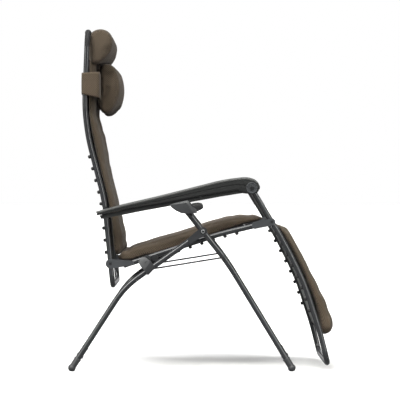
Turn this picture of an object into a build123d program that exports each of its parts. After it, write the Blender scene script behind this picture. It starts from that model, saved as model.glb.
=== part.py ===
from build123d import *
import os

# Zero gravity recliner. Millimetres. +X is the way the sitter faces, +Y is the sitter's left, +Z is up.
# The origin is on the ground, under the middle of the chair.
# Most of the chair is laid out in the side view, so a point written (x, z) is a place in that view.

os.makedirs("parts", exist_ok=True)

# ---- Driving dimensions ------------------------------------------------------------------------
FRAME_Y = 265        # centre of the seat, back and leg-rest tubes, out from the middle
LEG_Y = 297.5        # centre of the front and rear leg tubes
ROD_Y = 281.5        # centre of the stay rods, between the legs and the seat frame
ARM_Y = 334          # centre of the armrests
LEG_R = 10           # leg tube radius
FRAME_R = 9          # back and seat tube radius
REST_R = 9.5         # leg-rest tube radius
WALL = 1.5           # tube wall
PIN_R = 5            # hinge pins
PIN_FIT = 0.05       # radial clearance of a turning pin
SLIP = 0.3           # side clearance beside a turning tube

# Pivots, (x, z)
CROSSING = (3, 479.5)          # front leg crosses rear leg
SEAT_PIVOT = (-189, 371.5)     # seat swings on the rear legs
ROD_PIVOT = (72.8, 391)        # stay rod on the front leg
LOCK_PIVOT = (-59, 557)        # lock housing on the front leg's top
REAR_HINGE = (-315, 368)       # back to seat
FRONT_HINGE = (239.5, 512)     # leg-rest to seat
ARM_PIVOT = (-332, 539.5)      # armrest on the back
ARM_HUB = (169, 628.7)         # armrest front hub over the leg-rest's top end
LEVER_PIVOT = (-26, 550)       # lock lever in its housing

# Feet, (x, z) of the ball's centre; the balls have a small flat on the ground
BALL_R = 13.5
FRONT_FOOT = (307.2, 12.2)
REAR_FOOT = (-446.2, 12.2)

# Tube centre lines, (x, z) corners with the bend radius at each inner corner
FRONT_LEG_TOP = (-68.6, 569)
FRONT_LEG_CORNER = (86.8, 374.9)
FRONT_LEG_BENDS = [900]
REAR_LEG_CORNER = (-265.8, 289.8)
REAR_LEG_BENDS = [300]
BACK = [(-396.2, 1116), (-404.5, 905), (-392, 800), (-337, 590), (-311, 330)]
BACK_BENDS = [600, 690, 600]
BACK_TOP = (-394.2, 1166)
BACK_BOTTOM = (-307.3, 293)
SEAT_RAIL = [(-270, 361.5), (60, 470), (198, 502.4)]
SEAT_RAIL_BENDS = [1200]
LEG_REST = [(164.2, 636.6), (279, 447), (350, 305), (407, 128), (420, 75)]
LEG_REST_BENDS = [1200, 900, 900]
LEG_REST_BOTTOM = (432.2, 25)

# Soft parts: centre lines of the pads and slings, (x, z)
PAD_HALF_WIDTH = 250
SLING_HALF_WIDTH = 222
SLING_THICK = 3
BACK_PAD = [(-367, 1064), (-374, 930), (-356, 785), (-305, 575), (-281, 418)]
BACK_PAD_BENDS = [500, 600, 600]
BACK_PAD_THICK = 28
SEAT_PAD = [(-256, 396), (-150, 425), (50, 490), (196, 527)]
SEAT_PAD_BENDS = [700, 700]
SEAT_PAD_THICK = 30
LEG_PAD = [(270, 492), (322, 424), (388, 300), (427, 200), (446.5, 148)]
LEG_PAD_BENDS = [300, 500, 400]
LEG_PAD_THICK = 26
LACING_PITCH = 42

SIDES = (("right", -1), ("left", 1))


# ---- Helpers -----------------------------------------------------------------------------------
def side_plane(y):
    """The side view's plane at a distance y from the middle: its own axes are X and Z."""
    return Plane.XZ.offset(-y)


def in_space(point, y):
    """A side-view point (x, z) placed at y."""
    return Vector(point[0], y, point[1])


def heading(start, end):
    """Unit vector from one side-view point to another."""
    return (in_space(end, 0) - in_space(start, 0)).normalized()


def along(start, end, distance):
    """The side-view point at a distance from start towards end."""
    step = heading(start, end) * distance
    return (start[0] + step.X, start[1] + step.Z)


def route(points, bends, y=0):
    """A centre line in the side view: straight runs joined by tangent arcs."""
    places = [in_space(point, y) for point in points]
    with BuildLine() as line:
        if bends:
            FilletPolyline(*places, radius=bends)
        else:
            Polyline(*places)
    return line.wire()


def sweep_round(path, radius, wall=0, mode=Mode.ADD):
    """Sweep a round bar, or a tube where it has a wall, along a path."""
    with BuildSketch(Plane(origin=path @ 0, z_dir=path % 0)) as section:
        Circle(radius)
        if wall:
            Circle(radius - wall, mode=Mode.SUBTRACT)
    sweep(sections=section.sketch, path=path, mode=mode)


def cross_bar(point, y, radius, length, mode=Mode.ADD):
    """A round bar across the chair through a side-view point, or a hole where mode subtracts."""
    with BuildSketch(side_plane(y)) as section:
        with Locations(point):
            Circle(radius)
    extrude(section.sketch, amount=length / 2, both=True, mode=mode)


def link_plate(ends, y, thick, mode=Mode.ADD):
    """A plate in the side view round two circles, given as (point, radius), with straight flanks."""
    with BuildSketch(side_plane(y)) as section:
        for point, radius in ends:
            with Locations(point):
                Circle(radius)
        make_hull()
    extrude(section.sketch, amount=thick / 2, both=True, mode=mode)


def profile_plate(points, y, thick, corner=0, mode=Mode.ADD):
    """A plate in the side view with a straight-sided outline, its corners rounded on request."""
    with BuildSketch(side_plane(y)) as section:
        with BuildLine() as outline:
            Polyline(*points, close=True)
        make_face(outline.edges())
        if corner:
            fillet(section.vertices(), corner)
    extrude(section.sketch, amount=thick / 2, both=True, mode=mode)


def sweep_slab(points, bends, thick, half_width):
    """A slab of even thickness that follows a centre line in the side view."""
    path = route(points, bends)
    with BuildSketch(Plane(origin=path @ 0, x_dir=(0, 1, 0), z_dir=path % 0)) as section:
        RectangleRounded(2 * half_width, thick, 0.3 * thick)
    sweep(sections=section.sketch, path=path)


def save(builder, name):
    """Label a finished piece and write it."""
    builder.part.label = name
    export_step(builder.part, f"parts/{name}.step")


# ---- Legs --------------------------------------------------------------------------------------
# Each leg stops inside its foot; the rear leg starts clear of the front leg that it swings across
FOOT_INSET = 5
FRONT_LEG = [FRONT_LEG_TOP, FRONT_LEG_CORNER, along(FRONT_FOOT, FRONT_LEG_CORNER, FOOT_INSET)]
REAR_LEG_START = along(CROSSING, REAR_LEG_CORNER, 37)
REAR_LEG = [REAR_LEG_START, REAR_LEG_CORNER, along(REAR_FOOT, REAR_LEG_CORNER, FOOT_INSET)]
CROSS_TUBE_R = 9
FORK_THICK = 3
FORK_GAP = 2 * (LEG_R + SLIP)
FORK_WIDTH = FORK_GAP + 2 * FORK_THICK

for side, sign in SIDES:
    leg_y = sign * LEG_Y

    with BuildPart() as front_leg:
        sweep_round(route(FRONT_LEG, FRONT_LEG_BENDS, leg_y), LEG_R, WALL)
        cross_bar(CROSSING, leg_y, PIN_R + PIN_FIT, 30, Mode.SUBTRACT)
        cross_bar(LOCK_PIVOT, leg_y, PIN_R + PIN_FIT, 30, Mode.SUBTRACT)
        cross_bar(ROD_PIVOT, leg_y, 3, 30, Mode.SUBTRACT)
    save(front_leg, f"front_leg_{side}")

    with BuildPart() as rear_leg:
        sweep_round(route(REAR_LEG, REAR_LEG_BENDS, leg_y), LEG_R, WALL)
    save(rear_leg, f"rear_leg_{side}")


def build_feet(centre, leg_point, name):
    """A pair of feet: a ball with a flat underneath, a sleeve up the leg and a collar on the sleeve."""
    with BuildPart() as feet:
        for _, sign in SIDES:
            foot_plane = Plane(origin=in_space(centre, sign * LEG_Y), z_dir=heading(centre, leg_point))
            with Locations(foot_plane):
                Sphere(BALL_R)
                Cylinder(11.4, 36, align=(Align.CENTER, Align.CENTER, Align.MIN))
            with Locations(foot_plane.offset(33)):
                Cylinder(12.3, 6, align=(Align.CENTER, Align.CENTER, Align.MIN))
            with Locations(foot_plane.offset(FOOT_INSET - 0.5)):
                Cylinder(LEG_R, 60, align=(Align.CENTER, Align.CENTER, Align.MIN), mode=Mode.SUBTRACT)
        split(bisect_by=Plane.XY, keep=Keep.TOP)
    save(feet, name)


build_feet(FRONT_FOOT, FRONT_LEG_CORNER, "front_feet")
build_feet(REAR_FOOT, REAR_LEG_CORNER, "rear_feet")

with BuildPart() as leg_forks:
    for _, sign in SIDES:
        leg_y = sign * LEG_Y
        fork_end = along(CROSSING, REAR_LEG_CORNER, 50)
        link_plate([(CROSSING, 14.5), (fork_end, 11)], leg_y, FORK_WIDTH)
        cross_bar(CROSSING, leg_y, 35, FORK_GAP, Mode.SUBTRACT)
        fork_path = route([REAR_LEG_START, along(CROSSING, REAR_LEG_CORNER, 90)], None, leg_y)
        sweep_round(fork_path, LEG_R, mode=Mode.SUBTRACT)
        cross_bar(CROSSING, leg_y, PIN_R, FORK_WIDTH + 2, Mode.SUBTRACT)
save(leg_forks, "leg_forks")

with BuildPart() as crossing_rivets:
    for _, sign in SIDES:
        cross_bar(CROSSING, sign * LEG_Y, PIN_R, FORK_WIDTH + 4)
        for face in (-1, 1):
            cross_bar(CROSSING, sign * LEG_Y + face * (FORK_WIDTH / 2 + 1), 7.5, 2)
save(crossing_rivets, "crossing_rivets")

CROSS_TUBE_AT = along(REAR_FOOT, REAR_LEG_CORNER, 154)
with BuildPart() as rear_cross_tube:
    cross_bar(CROSS_TUBE_AT, 0, CROSS_TUBE_R, 2 * LEG_Y)
    cross_bar(CROSS_TUBE_AT, 0, CROSS_TUBE_R - WALL, 2 * LEG_Y, Mode.SUBTRACT)
    for _, sign in SIDES:
        sweep_round(route([REAR_FOOT, REAR_LEG_CORNER], None, sign * LEG_Y), LEG_R, mode=Mode.SUBTRACT)
save(rear_cross_tube, "rear_cross_tube")

# Moulded block on each rear leg that the seat swings on: a clamp round the leg with a lug above it
BLOCK_OUTLINE = [(-220, 375), (-197.5, 397), (-173.5, 377), (-156, 357), (-181, 331), (-196, 332), (-210, 353)]
LUG_OUTLINE = [(-220, 375), (-197.5, 397), (-173.5, 377), (-196, 347), (-208, 354)]
for side, sign in SIDES:
    with BuildPart() as pivot_block:
        profile_plate(BLOCK_OUTLINE, sign * (LEG_Y + 0.5), 25, corner=3)
        profile_plate(LUG_OUTLINE, sign * (LEG_Y + 14), 4, corner=3)
        sweep_round(route(REAR_LEG, REAR_LEG_BENDS, sign * LEG_Y), LEG_R, mode=Mode.SUBTRACT)
        cross_bar(SEAT_PIVOT, sign * LEG_Y, PIN_R + PIN_FIT, 60, Mode.SUBTRACT)
    save(pivot_block, f"pivot_block_{side}")

# ---- Stay rods ---------------------------------------------------------------------------------
ROD_R = 2
ROD_END = (-196, 348)
for side, sign in SIDES:
    rod_y = sign * ROD_Y
    with BuildPart() as stay_rod:
        sweep_round(route([ROD_PIVOT, ROD_END], None, rod_y), ROD_R)
        cross_bar(ROD_PIVOT, rod_y, 6, 3.4)
        stop_path = route([along(ROD_END, ROD_PIVOT, 7), ROD_END], None, rod_y)
        sweep_round(stop_path, 3.2)
        cross_bar(ROD_PIVOT, rod_y, 3 + PIN_FIT, 10, Mode.SUBTRACT)
    save(stay_rod, f"stay_rod_{side}")

with BuildPart() as stay_rod_pins:
    for _, sign in SIDES:
        cross_bar(ROD_PIVOT, sign * 294, 3, 30)
        cross_bar(ROD_PIVOT, sign * 309, 5.5, 2)
save(stay_rod_pins, "stay_rod_pins")

# ---- Seat frame --------------------------------------------------------------------------------
SEAT_LUG_TOP = (-189, 387)
SEAT_CROSS_R = 8
SEAT_CROSS_REAR = along(SEAT_RAIL[0], SEAT_RAIL[1], 46)
SEAT_CROSS_FRONT = along(SEAT_RAIL[2], SEAT_RAIL[1], 38)
CHEEK_OUT = FRAME_R + 2.8

for side, sign in SIDES:
    frame_y = sign * FRAME_Y
    rail_path = route(SEAT_RAIL, SEAT_RAIL_BENDS, frame_y)

    with BuildPart() as seat_rail:
        sweep_round(rail_path, FRAME_R, WALL)
    save(seat_rail, f"seat_rail_{side}")

    with BuildPart() as rear_hinge_bracket:
        link_plate([(REAR_HINGE, 16.5), ((-242, 370), 8)], frame_y, 2 * CHEEK_OUT)
        cross_bar(REAR_HINGE, frame_y, 43, 2 * (FRAME_R + SLIP), Mode.SUBTRACT)
        sweep_round(rail_path, FRAME_R, mode=Mode.SUBTRACT)
        cross_bar(REAR_HINGE, frame_y, PIN_R + PIN_FIT, 40, Mode.SUBTRACT)
    save(rear_hinge_bracket, f"rear_hinge_bracket_{side}")

    with BuildPart() as front_hinge_bracket:
        link_plate([(FRONT_HINGE, 12.5), ((182, 499), 11.5)], frame_y, 2 * CHEEK_OUT)
        cross_bar(FRONT_HINGE, frame_y, 44, 2 * (REST_R + SLIP), Mode.SUBTRACT)
        sweep_round(rail_path, FRAME_R, mode=Mode.SUBTRACT)
        cross_bar(FRONT_HINGE, frame_y, PIN_R + PIN_FIT, 40, Mode.SUBTRACT)
    save(front_hinge_bracket, f"front_hinge_bracket_{side}")

with BuildPart() as seat_pivot_lugs:
    for _, sign in SIDES:
        link_plate([(SEAT_PIVOT, 11), (SEAT_LUG_TOP, 11.5)], sign * FRAME_Y, 22)
        sweep_round(route(SEAT_RAIL, SEAT_RAIL_BENDS, sign * FRAME_Y), FRAME_R, mode=Mode.SUBTRACT)
        cross_bar(SEAT_PIVOT, sign * FRAME_Y, PIN_R + PIN_FIT, 30, Mode.SUBTRACT)
save(seat_pivot_lugs, "seat_pivot_lugs")


def build_seat_cross_tube(point, name):
    """A tube across the seat, coped to both rails."""
    with BuildPart() as cross_tube:
        cross_bar(point, 0, SEAT_CROSS_R, 2 * FRAME_Y)
        cross_bar(point, 0, SEAT_CROSS_R - WALL, 2 * FRAME_Y, Mode.SUBTRACT)
        for _, sign in SIDES:
            rail_path = route(SEAT_RAIL, SEAT_RAIL_BENDS, sign * FRAME_Y)
            sweep_round(rail_path, FRAME_R, mode=Mode.SUBTRACT)
    save(cross_tube, name)


build_seat_cross_tube(SEAT_CROSS_REAR, "seat_cross_tube_rear")
build_seat_cross_tube(SEAT_CROSS_FRONT, "seat_cross_tube_front")


def build_pins(point, inner, outer, name, head=0):
    """A pair of hinge pins across the chair between two distances from the middle."""
    with BuildPart() as pins:
        for _, sign in SIDES:
            cross_bar(point, sign * (inner + outer) / 2, PIN_R, outer - inner)
            if head:
                cross_bar(point, sign * (outer + 1.25), head, 2.5)
    save(pins, name)


build_pins(SEAT_PIVOT, FRAME_Y - 9, LEG_Y + 17, "seat_pivot_pins", head=7)
build_pins(REAR_HINGE, FRAME_Y - 12.5, FRAME_Y + 12.5, "rear_hinge_pins")
build_pins(FRONT_HINGE, FRAME_Y - 12.5, FRAME_Y + 12.5, "front_hinge_pins")

# ---- Back frame --------------------------------------------------------------------------------
for side, sign in SIDES:
    with BuildPart() as back_side_tube:
        sweep_round(route(BACK, BACK_BENDS, sign * FRAME_Y), FRAME_R, WALL)
        cross_bar(REAR_HINGE, sign * FRAME_Y, PIN_R + PIN_FIT, 30, Mode.SUBTRACT)
        cross_bar(ARM_PIVOT, sign * FRAME_Y, PIN_R + PIN_FIT, 30, Mode.SUBTRACT)
    save(back_side_tube, f"back_side_tube_{side}")


def build_end_tube(side_end, middle, bend, radius, name):
    """A tube that turns in from one side tube, crosses the chair and turns back to the other."""
    with BuildPart() as end_tube:
        with BuildLine() as line:
            FilletPolyline(
                in_space(side_end, -FRAME_Y),
                in_space(middle, -FRAME_Y),
                in_space(middle, FRAME_Y),
                in_space(side_end, FRAME_Y),
                radius=bend,
            )
        sweep_round(line.wire(), radius, WALL)
    save(end_tube, name)


build_end_tube(BACK[0], BACK_TOP, 42, FRAME_R, "back_top_tube")
build_end_tube(BACK[-1], BACK_BOTTOM, 34, FRAME_R, "back_bottom_tube")

with BuildPart() as top_tube_sleeve:
    cross_bar(BACK_TOP, 0, 11.2, 2 * 214)
    cross_bar(BACK_TOP, 0, FRAME_R, 2 * 214, Mode.SUBTRACT)
save(top_tube_sleeve, "top_tube_sleeve")

build_pins(ARM_PIVOT, FRAME_Y - 10, ARM_Y + 12, "arm_pivot_pins")

# ---- Leg-rest frame ----------------------------------------------------------------------------
for side, sign in SIDES:
    with BuildPart() as legrest_side_tube:
        sweep_round(route(LEG_REST, LEG_REST_BENDS, sign * FRAME_Y), REST_R, WALL)
        cross_bar(FRONT_HINGE, sign * FRAME_Y, PIN_R + PIN_FIT, 30, Mode.SUBTRACT)
        cross_bar(ARM_HUB, sign * FRAME_Y, PIN_R + PIN_FIT, 30, Mode.SUBTRACT)
    save(legrest_side_tube, f"legrest_side_tube_{side}")

build_end_tube(LEG_REST[-1], LEG_REST_BOTTOM, 42, REST_R, "legrest_bottom_tube")

# ---- Armrests ----------------------------------------------------------------------------------
HUB_R = 19.5
BOSS_R = 11
PAD_TOP = [(-362, 549), (-282, 570.5), (-144, 603), (-7, 637.5), (62, 654.5), (150, 665.5)]
NOSE = [(150, 665.5), (188, 652), (198.6, 628)]
NOSE_UNDER = [(198.6, 628), (192, 613), (176, 607)]
PAD_UNDER = [(176, 607), (130, 623.5), (-7, 601.5), (-110, 581), (-247, 558.5), (-356, 534)]
RAIL_TOP = [(-350, 534.8), (-247, 558), (-110, 580.5), (-7, 601), (130, 623)]
RAIL_UNDER = [(150, 613), (62, 599), (10, 589.3), (-110, 567), (-213, 548), (-344, 522.5)]
ARM_WIDTH = 48
RAIL_WIDTH = 26

for side, sign in SIDES:
    arm_y = sign * ARM_Y

    with BuildPart() as armrest_pad:
        with BuildSketch(side_plane(arm_y)) as pad_side:
            with BuildLine() as pad_outline:
                Spline(*PAD_TOP)
                ThreePointArc(*NOSE)
                ThreePointArc(*NOSE_UNDER)
                Polyline(*PAD_UNDER, PAD_TOP[0])
            make_face()
            with Locations(ARM_HUB):
                Circle(HUB_R + 0.4, mode=Mode.SUBTRACT)
        extrude(amount=ARM_WIDTH / 2, both=True)
        cross_bar(ARM_PIVOT, arm_y - sign * 10, BOSS_R + 0.5, ARM_WIDTH, Mode.SUBTRACT)
    save(armrest_pad, f"armrest_pad_{side}")

    with BuildPart() as armrest_rail:
        profile_plate(RAIL_TOP + RAIL_UNDER, arm_y, RAIL_WIDTH)
        cross_bar(ARM_HUB, arm_y, HUB_R, ARM_WIDTH - 4)
        cross_bar(ARM_PIVOT, arm_y, BOSS_R, RAIL_WIDTH)
        cross_bar(ARM_PIVOT, arm_y, PIN_R + PIN_FIT, ARM_WIDTH, Mode.SUBTRACT)
        cross_bar(ARM_HUB, arm_y, PIN_R, ARM_WIDTH, Mode.SUBTRACT)
    save(armrest_rail, f"armrest_rail_{side}")

HUB_BOLT_INNER = FRAME_Y + REST_R + 1.5
HUB_BOLT_OUTER = ARM_Y + ARM_WIDTH / 2 - 2
with BuildPart() as hub_bolts:
    for _, sign in SIDES:
        bolt_middle = sign * (HUB_BOLT_INNER + HUB_BOLT_OUTER) / 2
        cross_bar(ARM_HUB, bolt_middle, PIN_R, HUB_BOLT_OUTER - HUB_BOLT_INNER)
        cross_bar(ARM_HUB, sign * (HUB_BOLT_OUTER + 1.5), 7.5, 3)
        cross_bar(ARM_HUB, sign * (HUB_BOLT_INNER + 8), 8.5, 16)
save(hub_bolts, "hub_bolts")

# ---- Locks -------------------------------------------------------------------------------------
# The housing's two cheeks stand each side of the armrest's rail, which slides between them
HOUSING = [
    (-110, 571.5), (-106, 563), (-89.5, 551), (-72, 542.5), (-56, 541), (-34, 541.5), (-18, 543),
    (-20, 556), (-38, 566), (-48, 581), (-50, 586.5), (-58.7, 585.5), (-85, 579),
]
HOUSING_FLOOR = [(-120, 559.5), (-120, 620), (0, 620), (0, 583.5)]
LEVER = [(-33, 568), (-12, 575), (2, 573), (5, 562.5), (0, 556), (-20, 543.5), (-32, 543.5)]
HOUSING_INNER = LEG_Y + LEG_R + 1.5
HOUSING_OUTER = ARM_Y + RAIL_WIDTH / 2 + 5
CHANNEL = RAIL_WIDTH + 4
SLIDE_REAR = (-105, 565.2)
SLIDE_FRONT = (-52, 575.5)
SLIDE_R = 1

for side, sign in SIDES:
    housing_middle = sign * (HOUSING_INNER + HOUSING_OUTER) / 2
    with BuildPart() as lock_housing:
        profile_plate(HOUSING, housing_middle, HOUSING_OUTER - HOUSING_INNER)
        profile_plate(HOUSING_FLOOR, sign * ARM_Y, CHANNEL, mode=Mode.SUBTRACT)
        cross_bar(LEVER_PIVOT, sign * ARM_Y, 24, CHANNEL, Mode.SUBTRACT)
        cross_bar(LEVER_PIVOT, sign * ARM_Y, 2.5, 60, Mode.SUBTRACT)
        cross_bar(LOCK_PIVOT, sign * HOUSING_INNER, PIN_R + PIN_FIT, 16, Mode.SUBTRACT)
    save(lock_housing, f"lock_housing_{side}")

    with BuildPart() as lock_lever:
        profile_plate(LEVER, sign * ARM_Y, RAIL_WIDTH, corner=2.5)
        cross_bar(LEVER_PIVOT, sign * ARM_Y, 2.5 + PIN_FIT, 60, Mode.SUBTRACT)
    save(lock_lever, f"lock_lever_{side}")

    # The strip the housing slides on, under the rail
    with BuildPart() as lock_slide:
        link_plate([(SLIDE_REAR, SLIDE_R), (SLIDE_FRONT, SLIDE_R)], sign * ARM_Y, RAIL_WIDTH - 6)
    save(lock_slide, f"lock_slide_{side}")

with BuildPart() as lock_lever_pins:
    for _, sign in SIDES:
        cross_bar(LEVER_PIVOT, sign * (HOUSING_INNER + HOUSING_OUTER) / 2, 2.5, HOUSING_OUTER - HOUSING_INNER)
save(lock_lever_pins, "lock_lever_pins")

# The pins end just short of the housings, which ride along the armrests
build_pins(LOCK_PIVOT, LEG_Y - LEG_R - 1, HOUSING_INNER - 1, "lock_pivot_pins")

# ---- Slings and their lacing -------------------------------------------------------------------
BACK_SLING = [(-396.5, 1108), (-404.5, 905), (-392, 800), (-337, 590), (-313, 350)]
SEAT_SLING = [along(SEAT_CROSS_REAR, SEAT_RAIL[1], 14), (60, 470), along(SEAT_CROSS_FRONT, SEAT_RAIL[1], 14)]
LEG_SLING = [(254, 488), (279, 447), (350, 305), (402, 144)]


def build_sling(points, bends, name):
    """A flat woven sling between the side tubes."""
    path = route(points, bends)
    with BuildPart() as sling:
        with BuildSketch(Plane(origin=path @ 0, x_dir=(0, 1, 0), z_dir=path % 0)) as section:
            Rectangle(2 * SLING_HALF_WIDTH, SLING_THICK)
        sweep(sections=section.sketch, path=path)
    save(sling, name)


build_sling(BACK_SLING, BACK_BENDS, "back_sling")
build_sling(SEAT_SLING, SEAT_RAIL_BENDS, "seat_sling")
build_sling(LEG_SLING, [700, 900], "legrest_sling")


def build_lacing(points, bends, tube_r, first, steps, name):
    """Elastic loops from the sling to the side tubes, each held by a knob on the tube's underside.

    first is the distance along the tube's centre line to the first loop, and steps are the pitches
    from it that have a loop. The pads are on the other side of the tubes from the knobs."""
    with BuildPart() as lacing:
        for _, sign in SIDES:
            path = route(points, bends, sign * FRAME_Y)
            for step in steps:
                distance = first + step * LACING_PITCH
                centre = path.position_at(distance, position_mode=PositionMode.LENGTH)
                tangent = path.tangent_at(distance, position_mode=PositionMode.LENGTH)
                face = Vector(0, 1, 0).cross(tangent)
                with BuildSketch(Plane(origin=centre - tangent * 2.5, z_dir=tangent)) as ring:
                    Circle(tube_r + 2.2)
                    Circle(tube_r + 0.1, mode=Mode.SUBTRACT)
                extrude(ring.sketch, amount=5)
                cord_start = Vector(centre.X, sign * (SLING_HALF_WIDTH + 0.3), centre.Z)
                with BuildSketch(Plane(origin=cord_start, z_dir=(0, sign, 0))) as cord:
                    Circle(1.8)
                extrude(cord.sketch, amount=FRAME_Y - tube_r - 1 - SLING_HALF_WIDTH)
                with BuildSketch(Plane(origin=centre + face * (tube_r + 1), z_dir=face)) as knob:
                    Circle(4.6)
                extrude(knob.sketch, amount=5.5, taper=12)
    save(lacing, name)


# The back has no loop beside the armrest's pivot, and the seat none beside its own
build_lacing(BACK, BACK_BENDS, FRAME_R, 380, (0, 1, 2, 3, 4, 6, 7, 8), "back_lacing")
build_lacing(SEAT_RAIL, SEAT_RAIL_BENDS, FRAME_R, 196, range(6), "seat_lacing")
build_lacing(LEG_REST, LEG_REST_BENDS, REST_R, 186, range(8), "legrest_lacing")

# ---- Pads --------------------------------------------------------------------------------------
with BuildPart() as back_pad:
    sweep_slab(BACK_PAD, BACK_PAD_BENDS, BACK_PAD_THICK, PAD_HALF_WIDTH)
save(back_pad, "back_pad")

with BuildPart() as seat_pad:
    sweep_slab(SEAT_PAD, SEAT_PAD_BENDS, SEAT_PAD_THICK, PAD_HALF_WIDTH)
save(seat_pad, "seat_pad")

with BuildPart() as leg_pad:
    sweep_slab(LEG_PAD, LEG_PAD_BENDS, LEG_PAD_THICK, PAD_HALF_WIDTH)
save(leg_pad, "leg_pad")

# Rolled head end of the back pad
BOLSTER = [(-380, 1076), (-380, 1150), (-370, 1173), (-347, 1177.5), (-324, 1168), (-311, 1138), (-321, 1077)]
with BuildPart() as head_bolster:
    with BuildSketch(side_plane(0)):
        with BuildLine():
            Spline(*BOLSTER)
            Line(BOLSTER[-1], BOLSTER[0])
        make_face()
    extrude(amount=PAD_HALF_WIDTH, both=True)
save(head_bolster, "head_bolster")

# Head pillow with the wide elastic strap that holds it round the back frame
PILLOW_BACK = [(-350, 905), (-350, 1050)]
PILLOW_FRONT = [(-350, 1050), (-335, 1069), (-305, 1052), (-290, 1000), (-293, 950), (-315, 895), (-342, 885)]
PILLOW_HALF_WIDTH = 190
STRAP_THICK = 2
STRAP_REAR = -413.3
STRAP_FRONT = -353.5
STRAP_LOW = 935
STRAP_HIGH = 1024
with BuildPart() as head_pillow:
    with BuildSketch(side_plane(0)):
        with BuildLine():
            Spline(*PILLOW_FRONT)
            Polyline(PILLOW_FRONT[-1], PILLOW_BACK[0], PILLOW_BACK[1])
        make_face()
    extrude(amount=PILLOW_HALF_WIDTH, both=True)
save(head_pillow, "head_pillow")

with BuildPart() as pillow_strap:
    strap_middle = (STRAP_REAR + STRAP_FRONT) / 2
    strap_depth = STRAP_FRONT - STRAP_REAR
    strap_width = 2 * (FRAME_Y + FRAME_R + 1.5)
    with BuildSketch(Plane.XY.offset(STRAP_LOW)):
        with Locations((strap_middle, 0)):
            Rectangle(strap_depth + 2 * STRAP_THICK, strap_width + 2 * STRAP_THICK)
            Rectangle(strap_depth, strap_width, mode=Mode.SUBTRACT)
    extrude(amount=STRAP_HIGH - STRAP_LOW)
save(pillow_strap, "pillow_strap")
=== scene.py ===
import math

import bmesh
import bpy
import numpy as np
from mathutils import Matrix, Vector, noise


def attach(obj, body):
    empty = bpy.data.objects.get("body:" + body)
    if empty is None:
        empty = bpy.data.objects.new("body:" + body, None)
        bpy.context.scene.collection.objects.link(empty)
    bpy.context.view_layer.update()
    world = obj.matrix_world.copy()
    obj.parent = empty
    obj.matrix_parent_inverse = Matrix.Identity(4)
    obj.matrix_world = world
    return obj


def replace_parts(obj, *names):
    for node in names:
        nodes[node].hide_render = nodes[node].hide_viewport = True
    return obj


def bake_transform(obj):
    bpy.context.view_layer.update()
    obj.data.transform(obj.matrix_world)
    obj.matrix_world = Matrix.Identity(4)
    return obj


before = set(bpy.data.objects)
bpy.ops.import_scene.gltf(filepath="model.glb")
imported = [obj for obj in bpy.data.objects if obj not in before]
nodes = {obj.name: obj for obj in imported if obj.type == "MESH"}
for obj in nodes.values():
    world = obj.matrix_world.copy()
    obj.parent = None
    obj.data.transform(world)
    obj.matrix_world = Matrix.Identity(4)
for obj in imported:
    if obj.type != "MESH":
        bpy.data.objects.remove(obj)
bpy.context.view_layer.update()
scene = bpy.context.scene

# Side-view numbers are millimetres, (x, z), in the CAD's frame; everything built is in metres.
MM = 0.001
SIDES = (("right", -1), ("left", 1))
FRAME_Y = 265.0
ARM_Y = 334.0
PAD_HALF_WIDTH = 250


# ---- Curves in the side view -------------------------------------------------------------------
class Route:
    """Straight runs joined by tangent arcs, measured by length; it runs on straight past its ends."""

    def __init__(self, points, bends):
        pts = [np.array(p, float) for p in points]
        line = [pts[0]]
        for i, radius in enumerate(bends):
            a, b, c = pts[i], pts[i + 1], pts[i + 2]
            u = (a - b) / np.linalg.norm(a - b)
            v = (c - b) / np.linalg.norm(c - b)
            half = math.acos(max(-1.0, min(1.0, float(u @ v)))) / 2
            reach = radius / math.tan(half)
            mid = (u + v) / np.linalg.norm(u + v)
            centre = b + mid * radius / math.sin(half)
            p0, p1 = b + u * reach - centre, b + v * reach - centre
            sweep = math.pi - 2 * half
            sign = 1 if p0[0] * p1[1] - p0[1] * p1[0] > 0 else -1
            steps = max(2, int(radius * sweep / 4))
            for k in range(steps + 1):
                t = sign * sweep * k / steps
                cs, sn = math.cos(t), math.sin(t)
                line.append(centre + np.array([p0[0] * cs - p0[1] * sn, p0[0] * sn + p0[1] * cs]))
        line.append(pts[-1])
        self.setup(np.array(line))

    def setup(self, line):
        step = np.linalg.norm(np.diff(line, axis=0), axis=1)
        keep = np.concatenate([[True], step > 1e-6])
        self.line = line[keep]
        self.s = np.concatenate([[0], np.cumsum(np.linalg.norm(np.diff(self.line, axis=0), axis=1))])
        self.length = self.s[-1]

    def at(self, s):
        """Places and unit tangents at distances s."""
        s = np.asarray(s, float)
        pos = np.stack([np.interp(s, self.s, self.line[:, k]) for k in (0, 1)], -1)
        d = 3.0
        lo, hi = np.clip(s - d, 0, self.length - 0.01), np.clip(s + d, 0.01, self.length)
        tan = np.stack([np.interp(hi, self.s, self.line[:, k]) - np.interp(lo, self.s, self.line[:, k])
                        for k in (0, 1)], -1)
        tan /= np.linalg.norm(tan, axis=-1, keepdims=True)
        over = np.where(s < 0, s, np.where(s > self.length, s - self.length, 0.0))
        return pos + tan * over[..., None], tan


class Smooth(Route):
    """A smooth line through points given one by one."""

    def __init__(self, points):
        p = np.array(points, float)
        ext = np.vstack([2 * p[0] - p[1], p, 2 * p[-1] - p[-2]])
        line = []
        for i in range(1, len(ext) - 2):
            p0, p1, p2, p3 = ext[i - 1:i + 3]
            for t in np.linspace(0, 1, 16, endpoint=False):
                line.append(0.5 * (2 * p1 + (p2 - p0) * t + (2 * p0 - 5 * p1 + 4 * p2 - p3) * t ** 2
                                   + (3 * p1 - p0 - 3 * p2 + p3) * t ** 3))
        line.append(p[-1])
        self.setup(np.array(line))


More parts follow.
